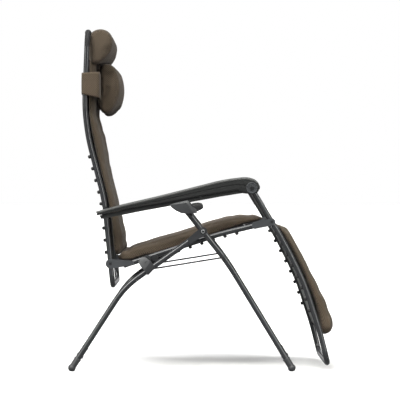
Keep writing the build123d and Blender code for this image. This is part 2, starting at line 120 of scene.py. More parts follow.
def table(x, pairs):
    """Smooth lookup of a table of (x, value) pairs."""
    xs, ys = [p[0] for p in pairs], [p[1] for p in pairs]
    x = np.asarray(x, float)
    i = np.clip(np.searchsorted(xs, x, side="right") - 1, 0, len(xs) - 2)
    xs, ys = np.array(xs, float), np.array(ys, float)
    t = np.clip((x - xs[i]) / (xs[i + 1] - xs[i]), 0, 1)
    t = t * t * (3 - 2 * t)
    return ys[i] * (1 - t) + ys[i + 1] * t


def smoothstep(x, lo, hi):
    t = np.clip((np.asarray(x, float) - lo) / (hi - lo), 0, 1)
    return t * t * (3 - 2 * t)


# ---- Meshes ------------------------------------------------------------------------------------
def new_object(name, verts, faces, smooth=True):
    mesh = bpy.data.meshes.new(name)
    mesh.from_pydata([tuple(v) for v in verts], [], faces)
    mesh.validate()
    bm = bmesh.new()
    bm.from_mesh(mesh)
    bmesh.ops.recalc_face_normals(bm, faces=bm.faces)
    bm.to_mesh(mesh)
    bm.free()
    mesh.polygons.foreach_set("use_smooth", [smooth] * len(mesh.polygons))
    obj = bpy.data.objects.new(name, mesh)
    scene.collection.objects.link(obj)
    return obj


def coords(obj):
    co = np.zeros(len(obj.data.vertices) * 3, np.float32)
    obj.data.vertices.foreach_get("co", co)
    return co.reshape(-1, 3).astype(float)


def set_coords(obj, co):
    obj.data.vertices.foreach_set("co", np.asarray(co, np.float32).ravel())
    obj.data.update()


def apply_modifiers(obj):
    dg = bpy.context.evaluated_depsgraph_get()
    dg.update()
    mesh = bpy.data.meshes.new_from_object(obj.evaluated_get(dg))
    obj.modifiers.clear()
    obj.data = mesh
    mesh.polygons.foreach_set("use_smooth", [True] * len(mesh.polygons))


class Builder:
    """Gathers several closed forms into one mesh. Points are in millimetres."""

    def __init__(self):
        self.verts, self.faces = [], []

    def add(self, verts, faces):
        base = len(self.verts)
        self.verts.extend([tuple(v) for v in verts])
        self.faces.extend([[base + i for i in f] for f in faces])

    def tube(self, points, radius, sides=10, closed=False, flat=1.0, up=None):
        """A round cord or tube along points; flat squeezes it across."""
        p = np.array(points, float)
        n = len(p)
        nxt = np.roll(p, -1, 0) if closed else np.vstack([p[1:], 2 * p[-1] - p[-2]])
        prv = np.roll(p, 1, 0) if closed else np.vstack([2 * p[0] - p[1], p[:-1]])
        tan = nxt - prv
        tan /= np.linalg.norm(tan, axis=1, keepdims=True)
        ref = np.array(up if up is not None else (0.13, 0.21, 0.97), float)
        side = np.cross(tan[0], ref)
        side /= np.linalg.norm(side)
        rings = []
        r = np.broadcast_to(np.asarray(radius, float), (n,))
        for i in range(n):
            side = side - tan[i] * (side @ tan[i])
            side /= np.linalg.norm(side)
            other = np.cross(tan[i], side)
            for k in range(sides):
                a = 2 * math.pi * k / sides
                rings.append(p[i] + r[i] * (math.cos(a) * side + flat * math.sin(a) * other))
        faces = []
        for i in range(n if closed else n - 1):
            for k in range(sides):
                a, b = i * sides + k, i * sides + (k + 1) % sides
                c, d = ((i + 1) % n) * sides + (k + 1) % sides, ((i + 1) % n) * sides + k
                faces.append([a, b, c, d])
        if not closed:
            rings += [p[0], p[-1]]
            for k in range(sides):
                faces.append([len(rings) - 2, (k + 1) % sides, k])
                last = (n - 1) * sides
                faces.append([len(rings) - 1, last + k, last + (k + 1) % sides])
        self.add(rings, faces)

    def lathe(self, profile, origin, axis, sides=20):
        """A turned form: profile is (distance along axis, radius) pairs."""
        axis = np.array(axis, float) / np.linalg.norm(axis)
        ref = np.array((0.0, 0.0, 1.0)) if abs(axis[2]) < 0.9 else np.array((1.0, 0.0, 0.0))
        u = np.cross(axis, ref)
        u /= np.linalg.norm(u)
        v = np.cross(axis, u)
        o = np.array(origin, float)
        verts, faces, rows = [], [], []
        for d, r in profile:
            if r < 1e-6:
                rows.append([len(verts)])
                verts.append(o + axis * d)
            else:
                rows.append(list(range(len(verts), len(verts) + sides)))
                for k in range(sides):
                    a = 2 * math.pi * k / sides
                    verts.append(o + axis * d + r * (math.cos(a) * u + math.sin(a) * v))
        for a, b in zip(rows, rows[1:]):
            for k in range(sides):
                k2 = (k + 1) % sides
                if len(a) == 1 and len(b) == 1:
                    continue
                if len(a) == 1:
                    faces.append([a[0], b[k], b[k2]])
                elif len(b) == 1:
                    faces.append([a[k], b[0], a[k2]])
                else:
                    faces.append([a[k], b[k], b[k2], a[k2]])
        self.add(verts, faces)

    def loft(self, sections, caps=True):
        """Closed sections of the same number of points, joined in order."""
        n = len(sections[0])
        verts = [p for s in sections for p in s]
        faces = []
        for i in range(len(sections) - 1):
            for k in range(n):
                k2 = (k + 1) % n
                faces.append([i * n + k, i * n + k2, (i + 1) * n + k2, (i + 1) * n + k])
        if caps:
            faces.append(list(range(n)))
            faces.append([(len(sections) - 1) * n + k for k in range(n)])
        self.add(verts, faces)

    def build(self, name, smooth=True):
        return new_object(name, np.array(self.verts, float) * MM, self.faces, smooth)


def finish_hard(obj, body, material, angle=35):
    """Shades a moulded or metal piece, and fixes it to its body."""
    obj.data.materials.clear()
    obj.data.materials.append(material)
    try:
        obj.data.set_sharp_from_angle(angle=math.radians(angle))
    except AttributeError:
        pass
    if body:
        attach(obj, body)
    return obj


# ---- Materials ---------------------------------------------------------------------------------
def shader(name, base, roughness, **sockets):
    mat = bpy.data.materials.new(name)
    mat.use_nodes = True
    bsdf = mat.node_tree.nodes["Principled BSDF"]
    bsdf.inputs["Base Color"].default_value = (*base, 1)
    bsdf.inputs["Roughness"].default_value = roughness
    for key, value in sockets.items():
        bsdf.inputs[key.replace("_", " ")].default_value = value
    return mat, bsdf


class Graph:
    """Short calls for a material's nodes."""

    def __init__(self, mat):
        self.tree = mat.node_tree

    def node(self, kind, **settings):
        n = self.tree.nodes.new(kind)
        for key, value in settings.items():
            setattr(n, key, value)
        return n

    def link(self, a, b):
        self.tree.links.new(a, b)

    def put(self, socket, value):
        if isinstance(value, bpy.types.NodeSocket):
            self.link(value, socket)
        else:
            socket.default_value = value

    def math(self, op, a, b=0.0, c=0.0, clamp=False):
        n = self.node("ShaderNodeMath", operation=op, use_clamp=clamp)
        for s, v in zip(n.inputs, (a, b, c)):
            self.put(s, v)
        return n.outputs[0]

    def coords(self, attribute=None):
        if attribute:
            return self.node("ShaderNodeAttribute", attribute_name=attribute).outputs["Vector"]
        return self.node("ShaderNodeTexCoord").outputs["Object"]

    def noise(self, where, scale, detail=2.0, roughness=0.5):
        n = self.node("ShaderNodeTexNoise")
        self.link(where, n.inputs["Vector"])
        n.inputs["Scale"].default_value = scale
        n.inputs["Detail"].default_value = detail
        n.inputs["Roughness"].default_value = roughness
        return n.outputs[0]

    def ramp(self, value, stops):
        n = self.node("ShaderNodeValToRGB")
        self.link(value, n.inputs[0])
        while len(n.color_ramp.elements) < len(stops):
            n.color_ramp.elements.new(0.5)
        for e, (pos, col) in zip(n.color_ramp.elements, stops):
            e.position = pos
            e.color = (*col, 1) if len(col) == 3 else col
        return n.outputs[0]

    def mix(self, factor, a, b, mode="MIX"):
        n = self.node("ShaderNodeMix", data_type="RGBA", blend_type=mode)
        self.put(n.inputs[0], factor)
        for s, v in ((n.inputs[6], a), (n.inputs[7], b)):
            self.put(s, v if isinstance(v, bpy.types.NodeSocket) else (*v, 1))
        return n.outputs[2]

    def spread(self, value, lo, hi):
        n = self.node("ShaderNodeMapRange")
        self.link(value, n.inputs[0])
        n.inputs[3].default_value = lo
        n.inputs[4].default_value = hi
        return n.outputs[0]

    def bump(self, bsdf, height, distance, strength=1.0, after=None):
        n = self.node("ShaderNodeBump")
        n.inputs["Strength"].default_value = strength
        n.inputs["Distance"].default_value = distance
        self.link(height, n.inputs["Height"])
        if after is not None:
            self.link(after, n.inputs["Normal"])
        self.link(n.outputs[0], bsdf.inputs["Normal"])
        return n.outputs[0]


def scaled(c, k):
    return tuple(min(1.0, v * k) for v in c)


def spacer_mesh(name, yarn, pitch=0.0068, deep=0.16):
    """Knitted spacer mesh: rows of small oval holes set on the diagonal, with painted shade inside them."""
    mat, bsdf = shader(name, yarn, 0.92, Sheen_Weight=0.10, Sheen_Roughness=0.5, Specular_IOR_Level=0.2)
    g = Graph(mat)
    where = g.coords("weave")
    wobble = g.node("ShaderNodeVectorMath", operation="MULTIPLY_ADD")
    soft = g.node("ShaderNodeTexNoise")
    g.link(where, soft.inputs["Vector"])
    soft.inputs["Scale"].default_value = 60
    g.link(soft.outputs[1], wobble.inputs[0])
    wobble.inputs[1].default_value = (0.0007,) * 3
    g.link(where, wobble.inputs[2])
    split = g.node("ShaderNodeSeparateXYZ")
    g.link(wobble.outputs[0], split.inputs[0])
    k = 2 * math.pi / pitch
    cu = g.math("COSINE", g.math("MULTIPLY", split.outputs[0], k))
    cv = g.math("COSINE", g.math("MULTIPLY", split.outputs[1], k * 1.12))
    dots = g.math("MULTIPLY_ADD", g.math("MULTIPLY", cu, cv), 0.5, 0.5)
    rib = g.math("SINE", g.math("MULTIPLY", split.outputs[0], k * 4))
    # painted shade: the hole insides, where the knit dips in, are darkened to the deep tone
    holes = g.ramp(dots, [(0.0, (1, 1, 1)), (0.62, (0.93, 0.93, 0.93)), (0.92, (deep,) * 3)])
    blotch = g.noise(where, 14, 4)
    fine = g.noise(where, 420, 3)
    shade = g.mix(g.spread(blotch, 0.0, 1.0), scaled(yarn, 0.84), scaled(yarn, 1.16))
    shade = g.mix(g.spread(fine, 0.0, 0.5), shade, scaled(yarn, 0.55))
    tint = g.mix(g.noise(where, 5, 2), (0.96, 1.0, 1.02), (1.04, 0.99, 0.94))
    shade = g.mix(1.0, shade, tint, "MULTIPLY")
    g.link(g.mix(1.0, shade, holes, "MULTIPLY"), bsdf.inputs["Base Color"])
    height = g.math("MULTIPLY_ADD", rib, 0.10, g.math("SUBTRACT", 1.0, dots))
    first = g.bump(bsdf, height, 0.0009, 0.8)
    g.bump(bsdf, fine, 0.0004, 0.35, first)
    return mat


def canvas(name, base, pitch=0.0016, coord="weave", sheen=0.15):
    """Plain woven cloth: two sets of threads, crossing, with painted shade where one set dips under the
    other.
    """
    mat, bsdf = shader(name, base, 0.82, Sheen_Weight=sheen)
    g = Graph(mat)
    where = g.coords(coord)
    split = g.node("ShaderNodeSeparateXYZ")
    g.link(where, split.inputs[0])
    k = math.pi / pitch
    a = g.math("SINE", g.math("MULTIPLY", split.outputs[0], k))
    b = g.math("SINE", g.math("MULTIPLY", split.outputs[1], k))
    over = g.math("MULTIPLY_ADD", g.math("MULTIPLY", a, b), 0.5, 0.5)
    blotch = g.noise(where, 22, 4)
    shade = g.mix(g.spread(blotch, 0, 1), scaled(base, 0.8), scaled(base, 1.2))
    # painted shade: where the threads dip under (low over), the colour is darkened to 0.62
    g.link(g.mix(over, g.mix(1.0, shade, (0.62,) * 3, "MULTIPLY"), shade), bsdf.inputs["Base Color"])
    g.bump(bsdf, over, 0.0004, 0.7)
    return mat


def paint(name, base, roughness=0.3, metallic=0.25, coat=0.25):
    """Powder coat on steel: fine orange peel, a little dust, slightly rubbed where edges stand out."""
    mat, bsdf = shader(name, base, roughness, Metallic=metallic, Coat_Weight=coat, Coat_Roughness=0.12)
    g = Graph(mat)
    where = g.coords()
    blotch = g.noise(where, 9, 5)
    fleck = g.noise(where, 900, 2)
    shade = g.mix(g.spread(blotch, 0, 1), scaled(base, 0.88), scaled(base, 1.14))
    shade = g.mix(g.spread(fleck, 0.0, 0.22), shade, scaled(base, 1.5))
    geo = g.node("ShaderNodeNewGeometry")
    edge = g.ramp(geo.outputs["Pointiness"], [(0.53, (0, 0, 0)), (0.62, (1, 1, 1))])
    shade = g.mix(g.math("MULTIPLY", edge, g.spread(g.noise(where, 60, 4), 0.0, 0.5)), shade,
                  scaled(base, 2.4))
    g.link(shade, bsdf.inputs["Base Color"])
    g.link(g.spread(g.noise(where, 35, 4), roughness * 0.82, roughness * 1.25), bsdf.inputs["Roughness"])
    g.bump(bsdf, g.noise(where, 700, 2), 0.0002, 0.25)
    return mat


def plastic(name, base, roughness=0.5, grain=0.35):
    """Moulded plastic with a fine spark-eroded grain, and a painted highlight on edges that stand out."""
    mat, bsdf = shader(name, base, roughness)
    g = Graph(mat)
    where = g.coords()
    cell = g.node("ShaderNodeTexVoronoi")
    g.link(where, cell.inputs["Vector"])
    cell.inputs["Scale"].default_value = 1100
    blotch = g.noise(where, 16, 5)
    shade = g.mix(g.spread(blotch, 0, 1), scaled(base, 0.85), scaled(base, 1.18))
    # painted highlight: convex edges (high pointiness) are lightened
    geo = g.node("ShaderNodeNewGeometry")
    edge = g.ramp(geo.outputs["Pointiness"], [(0.52, (0, 0, 0)), (0.60, (1, 1, 1))])
    shade = g.mix(g.math("MULTIPLY", edge, 0.35), shade, scaled(base, 1.9))
    g.link(shade, bsdf.inputs["Base Color"])
    g.link(g.spread(g.noise(where, 50, 4), roughness * 0.85, roughness * 1.2), bsdf.inputs["Roughness"])
    g.bump(bsdf, cell.outputs[0], 0.00025, grain)
    return mat


def steel(name, base, roughness=0.32):
    mat, bsdf = shader(name, base, roughness, Metallic=1.0)
    g = Graph(mat)
    where = g.coords()
    g.link(g.mix(g.noise(where, 240, 4), scaled(base, 0.75), scaled(base, 1.12)), bsdf.inputs["Base Color"])
    g.link(g.spread(g.noise(where, 300, 3), roughness * 0.7, roughness * 1.5), bsdf.inputs["Roughness"])
    g.bump(bsdf, g.noise(where, 1500, 2), 0.0001, 0.3)
    return mat


TAUPE = (0.094, 0.071, 0.050)
M_PAD = spacer_mesh("pad_mesh_knit", TAUPE)
M_SLING = canvas("sling_canvas", (0.075, 0.081, 0.075), 0.0018)
M_TUBE = paint("tube_powder_coat", (0.024, 0.025, 0.027), 0.16, 0.2, 0.5)
M_LEG = paint("leg_powder_coat", (0.022, 0.023, 0.025), 0.16, 0.2, 0.5)
M_ROD = paint("rod_black_paint", (0.008, 0.008, 0.009), 0.45)
M_SHELL = plastic("armrest_plastic_grain", (0.009, 0.0095, 0.0095), 0.40)
M_BRACKET = plastic("bracket_plastic_grain", (0.028, 0.030, 0.033), 0.42)
M_BLACK = plastic("black_plastic_grain", (0.006, 0.006, 0.007), 0.45)
M_FOOT = plastic("foot_plastic_grain", (0.028, 0.029, 0.031), 0.42)
M_STEEL = steel("zinc_plated_steel", (0.46, 0.47, 0.48))
# painted light: the armrest top is the same plastic as the near-black side in M_SHELL, given a far lighter
# grey to stand for its lit top
M_ARM_TOP_PAINTED_LIGHT = plastic("armrest_top_painted_lit", (0.050, 0.051, 0.050), 0.38)
M_SHIELD = plastic("lock_shield_grey", (0.030, 0.031, 0.033), 0.36)
M_PIN = steel("blackened_steel", (0.055, 0.056, 0.058), 0.4)
M_CORD = canvas("elastic_cord_braid", (0.012, 0.012, 0.013), 0.0011, None, 0.1)
M_FOAM = plastic("foam_sleeve_black", (0.012, 0.012, 0.013), 0.85, 0.8)

for name, obj in nodes.items():
    if name.startswith(("front_leg_", "rear_leg_")) or name in ("rear_cross_tube", "leg_forks"):
        mat = M_LEG
    elif name.startswith("stay_rod_") and name != "stay_rod_pins":
        mat = M_ROD
    elif name.endswith("feet"):
        mat = M_FOOT
    elif "pins" in name or name in ("crossing_rivets", "hub_bolts"):
        mat = M_PIN
    elif "pivot_block" in name or "bracket" in name or "lock_housing" in name or "lock_slide" in name:
        mat = M_BRACKET
    elif name.startswith("armrest"):
        mat = M_SHELL
    elif "lever" in name:
        mat = M_BLACK
    elif name in ("top_tube_sleeve", "back_top_tube"):
        mat = M_FOAM
    else:
        mat = M_TUBE
    obj.data.materials.clear()
    obj.data.materials.append(mat)

# ---- Soft goods: built flat, blown up by a cloth simulation, then bent along their line --------
def flat_pad(name, length, half_width, thick, voxel=0.006, corner=30.0):
    """A flat pad with rounded corners in plan: s along x, across y, thickness z from 0 to thick(s)."""
    ns, ny = max(20, int(length / 9)), int(2 * half_width / 9)
    s = length * 0.5 * (1 - np.cos(np.linspace(0, math.pi, ns)))
    y = half_width * np.sin(np.linspace(-math.pi / 2, math.pi / 2, ny))
    verts, faces = [], []
    for z_side in (1, 0):
        for si in s:
            t = float(thick(si))
            for yj in y:
                sx, yy = si, yj
                ex = max(0.0, corner - min(si, length - si))
                ey = max(0.0, corner - (half_width - abs(yj)))
                if ex > 0 and ey > 0:
                    r = math.hypot(ex, ey)
                    if r > corner:
                        k = corner / r
                        sx += (1 - k) * ex * (1 if si < length / 2 else -1)
                        yy -= (1 - k) * ey * math.copysign(1, yj)
                verts.append((sx, yy, t * z_side))
    m = ns * ny
    for i in range(ns - 1):
        for j in range(ny - 1):
            a = i * ny + j
            faces.append([a, a + ny, a + ny + 1, a + 1])
            faces.append([m + a, m + a + 1, m + a + ny + 1, m + a + ny])
    rim = ([i * ny for i in range(ns)] + [(ns - 1) * ny + j for j in range(1, ny)]
           + [i * ny + ny - 1 for i in range(ns - 2, -1, -1)] + [j for j in range(ny - 2, 0, -1)])
    for k, a in enumerate(rim):
        b = rim[(k + 1) % len(rim)]
        faces.append([a, b, m + b, m + a])
    obj = new_object(name, np.array(verts) * MM, faces)
    remesh = obj.modifiers.new("Remesh", "REMESH")
    remesh.mode = "VOXEL"
    remesh.voxel_size = voxel
    apply_modifiers(obj)
    return obj


def inflate(obj, cap, pressure=4.0, stiffness=15.0, shrink=0.0, frames=20):
    """Cloth simulation under pressure with no gravity, with each point's travel capped, then applied."""
    rest = coords(obj)
    cloth = obj.modifiers.new("Cloth", "CLOTH")
    cs = cloth.settings
    cs.quality = 5
    cs.mass = 0.3
    cs.tension_stiffness = stiffness
    cs.compression_stiffness = stiffness
    cs.bending_stiffness = 0.6
    cs.shrink_min = shrink
    cs.use_pressure = True
    cs.uniform_pressure_force = pressure
    cs.effector_weights.gravity = 0
    cloth.collision_settings.use_collision = False
    cloth.collision_settings.use_self_collision = False
    cloth.point_cache.frame_start = 1
    cloth.point_cache.frame_end = frames
    for f in range(1, frames + 1):
        scene.frame_set(f)
    apply_modifiers(obj)
    scene.frame_set(1)
    moved = coords(obj) - rest
    far = np.linalg.norm(moved, axis=1, keepdims=True)
    set_coords(obj, rest + moved * np.minimum(1, cap / np.maximum(far, 1e-9)))


def mark_weave(obj, length, half_width, thick):
    """Stores each point's place on the flat pad, run on round its sides, for the knit pattern."""
    co = coords(obj) / MM
    s, y, n = co.T
    t = np.array([float(thick(v)) for v in s])
    drop = np.clip(t - n, 0, t)
    u = s + np.sign(s - length / 2) * drop * smoothstep(abs(s - length / 2), length / 2 - 30, length / 2 - 8)
    v = y + np.sign(y) * drop * smoothstep(abs(y), half_width - 30, half_width - 8)
    weave = np.stack([u, v, np.zeros_like(u)], 1) * MM
    attribute = obj.data.attributes.new("weave", "FLOAT_VECTOR", "POINT")
    attribute.data.foreach_set("vector", weave.astype(np.float32).ravel())


def bend_along(obj, route, offset=0.0):
    """Bends a flat pad along a side-view line: x is distance, z stands off to the line's left."""
    co = coords(obj) / MM
    pos, tan = route.at(co[:, 0])
    nrm = np.stack([-tan[:, 1], tan[:, 0]], 1)
    place = pos + nrm * (co[:, 2:3] + offset)
    set_coords(obj, np.stack([place[:, 0], co[:, 1], place[:, 1]], 1) * MM)


def dent(obj, amount):
    """Moves each point of a flat pad up or down by amount(s, y, n), in millimetres."""
    co = coords(obj) / MM
    co[:, 2] += amount(co[:, 0], co[:, 1], co[:, 2])
    set_coords(obj, co * MM)


def subdivide(obj, levels=1):
    mod = obj.modifiers.new("Smooth", "SUBSURF")
    mod.levels = levels
    mod.render_levels = levels
    apply_modifiers(obj)


def puckers(s, y, scale, amount, seed):
    """Soft, uneven folds in the cover."""
    out = np.empty(len(s))
    for i in range(len(s)):
        out[i] = noise.noise(Vector((s[i] * scale, y[i] * scale, seed)))
    return out * amount


class Pad:
    """One padded piece along a side-view line."""

    def __init__(self, name, line, thick, half_width, node, slot="pad_mesh", cap=0.012, pressure=4.0,
                 crown=0.0, voxel=0.006, corner=30.0, seed=1.0, swell=5.0):
        self.route = Smooth(line)
        self.length = self.route.length
        self.half_width = half_width
        lean = lambda s: max(4.0, float(table(s, thick)) - swell)
        full = lambda s: float(table(s, thick))
        self.obj = flat_pad(name, self.length, half_width - 2, lean, voxel, corner)
        inflate(self.obj, cap, pressure)
        co = coords(self.obj) / MM
        # back to a flat underside, with the crown kept on the upper face
        under = co[:, 2] < 0
        co[under, 2] *= 0.25
        # brings the blown-up height back to the pad's own thickness, station by station
        edges = np.linspace(co[:, 0].min(), co[:, 0].max(), 60)
        which = np.clip(np.digitize(co[:, 0], edges) - 1, 0, 58)
        peak = np.array([np.percentile(co[which == k, 2], 97) if (which == k).any() else 10.0
                         for k in range(59)])
        peak = np.maximum(np.convolve(np.pad(peak, 2, "edge"), np.ones(5) / 5, "valid"), 6.0)
        mids = 0.5 * (edges[1:] + edges[:-1])
        goal = np.array([full(np.clip(v, 0, self.length)) for v in mids]) - 0.4 * crown
        co[:, 2] = np.where(co[:, 2] > 0, co[:, 2] * np.interp(co[:, 0], mids, goal / peak), co[:, 2])
        set_coords(self.obj, co * MM)
        hw = half_width
        L = self.length

        def shape(s, y, n):
            top = smoothstep(n, 2, 12)
            bow = crown * (1 - (np.abs(y) / hw) ** 2.2) * smoothstep(np.minimum(s, L - s), 0, 90)
            inset = np.minimum(hw - np.abs(y), np.minimum(s, L - s) + 12)
            seam = -1.6 * np.exp(-((inset - 15.0) / 3.2) ** 2)
            wave = puckers(s, y, 0.016, 1.6, seed) + puckers(s, y, 0.05, 0.7, seed + 9)
            return top * (bow + seam + wave)

        dent(self.obj, shape)
        subdivide(self.obj, 1)
        mark_weave(self.obj, self.length, hw, full)
        bend_along(self.obj, self.route)
        self.obj.data.materials.clear()
        self.obj.data.materials.append(M_PAD)
        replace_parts(self.obj, node)


# Lines of the pads' undersides, and how thick each pad is along them
BACK_LINE = [(-384.5, 1100), (-386, 1067), (-388.5, 930.6), (-384.5, 861.9), (-372.5, 793.4), (-357.1, 724.8),
             (-339.9, 656.2), (-322.8, 587.6), (-310.8, 519), (-304.6, 450.4), (-298.5, 405), (-294, 388)]
BACK_THICK = [(0, 22), (170, 19), (215, 17), (260, 22), (300, 26), (345, 25), (400, 21), (470, 19), (540, 20),
              (590, 24), (650, 31), (690, 30), (722, 24)]
SEAT_LINE = [(-300, 398), (-291.9, 387.5), (-274.7, 381.5), (-247.3, 382.5), (-213, 393.5), (-144.4, 411),
             (-41.5, 443), (27.1, 469),
             (100, 493), (150, 507), (204, 520), (220, 523)]
SEAT_THICK = [(0, 26), (30, 33), (80, 37), (180, 40), (270, 38), (340, 36), (410, 33),
              (460, 27), (510, 18), (550, 12)]
LEG_LINE = [(256, 500), (270.6, 489.5), (301.5, 440), (335.8, 374.9), (363.2, 313.1), (390.7, 244.5),
            (407.8, 182.8),
            (416, 140), (419, 113)]
LEG_THICK = [(0, 12), (45, 20), (110, 20), (190, 22), (260, 27), (330, 35), (385, 43), (404, 40), (418, 30),
             (430, 16)]

back_pad = Pad("back_cushion", BACK_LINE, BACK_THICK, PAD_HALF_WIDTH, "back_pad", crown=7, seed=3.1)
seat_pad = Pad("seat_cushion", SEAT_LINE, SEAT_THICK, PAD_HALF_WIDTH, "seat_pad", crown=6, seed=7.7)
leg_pad = Pad("leg_cushion", LEG_LINE, LEG_THICK, PAD_HALF_WIDTH, "leg_pad", crown=3, seed=12.3)

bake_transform(back_pad.obj)
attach(seat_pad.obj, "seat")
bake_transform(leg_pad.obj)


def round_pad(name, outline, half_width, node, body, cap, pressure, seed, end_round=18.0):
    """A stuffed form with the same outline all along Y, its ends rounded, blown up by the simulation."""
    line = Smooth(outline + [outline[0]])
    n = 64
    pos, _ = line.at(np.linspace(0, line.length, n, endpoint=False))
    centre = pos.mean(0)
    sections = []
    ys = [-1.0, -0.985, -0.95, -0.88] + list(np.linspace(-0.8, 0.8, 25)) + [0.88, 0.95, 0.985, 1.0]
    for f in ys:
        out = (1 - abs(f)) * half_width
        k = 1 - 0.15 * (1 - min(1.0, out / end_round)) ** 2.2
        ring = centre + (pos - centre) * k
        sections.append([(p[0], f * half_width, p[1]) for p in ring])
    b = Builder()
    b.loft(sections)
    obj = b.build(name)
    remesh = obj.modifiers.new("Remesh", "REMESH")
    remesh.mode = "VOXEL"
    remesh.voxel_size = 0.006
    apply_modifiers(obj)
    inflate(obj, cap, pressure)
    co = coords(obj) / MM
    ring_s = np.linspace(0, line.length, 400)
    ring_p, _ = line.at(ring_s)
    flat = co[:, [0, 2]]
    ang = np.arctan2(flat[:, 1] - centre[1], flat[:, 0] - centre[0])
    ring_a = np.unwrap(np.arctan2(ring_p[:, 1] - centre[1], ring_p[:, 0] - centre[0]))
    lo = min(ring_a[0], ring_a[-1])
    a = (ang - lo) % (2 * math.pi) + lo
    order = np.argsort(ring_a)
    u = np.interp(a, ring_a[order], ring_s[order])
    radius = np.linalg.norm(flat - centre, axis=1)
    edge = np.array([np.interp(v, ring_s, np.linalg.norm(ring_p - centre, axis=1)) for v in u])
    inward = np.clip(edge - radius, 0, 200)
    near_end = smoothstep(np.abs(co[:, 1]), half_width - 40, half_width - 12)
    v = co[:, 1] + np.sign(co[:, 1]) * inward * near_end
    # on the end faces the knit runs straight, not round the middle
    end_face = smoothstep(inward, 4, 12) * near_end
    u = np.where(end_face > 0.5, flat[:, 1] + 500, u)
    v = np.where(end_face > 0.5, flat[:, 0], v)
    wave = puckers(u, co[:, 1], 0.02, 1.6, seed)
    out_dir = (flat - centre) / np.maximum(radius, 1)[:, None]
    co[:, [0, 2]] += out_dir * (wave * (1 - near_end))[:, None]
    set_coords(obj, co * MM)
    attribute = obj.data.attributes.new("weave", "FLOAT_VECTOR", "POINT")
    weave = np.stack([u, v, 0 * u], 1) * MM
    attribute.data.foreach_set("vector", weave.astype(np.float32).ravel())
    subdivide(obj, 1)
    obj.data.materials.clear()
    obj.data.materials.append(M_PAD)
    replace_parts(obj, node)
    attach(obj, body)
    return obj


ROLL = [(-384, 1056), (-386, 1105), (-386, 1145), (-380, 1168), (-362, 1178), (-342, 1179), (-323, 1171),
        (-311, 1156),
        (-307, 1138), (-311, 1118), (-322, 1096), (-338, 1074), (-360, 1057)]
PILLOW = [(-352, 900), (-353, 980), (-351, 1050), (-338, 1067), (-310, 1053), (-293, 1010), (-290, 965),
          (-303, 913),
          (-322, 888), (-344, 884)]
roll = round_pad("head_roll", ROLL, 250, "head_bolster", "back", 0.010, 3.0, 21.0)
pillow = round_pad("head_pillow_cover", PILLOW, 190, "head_pillow", "headrest", 0.012, 4.0, 31.0)

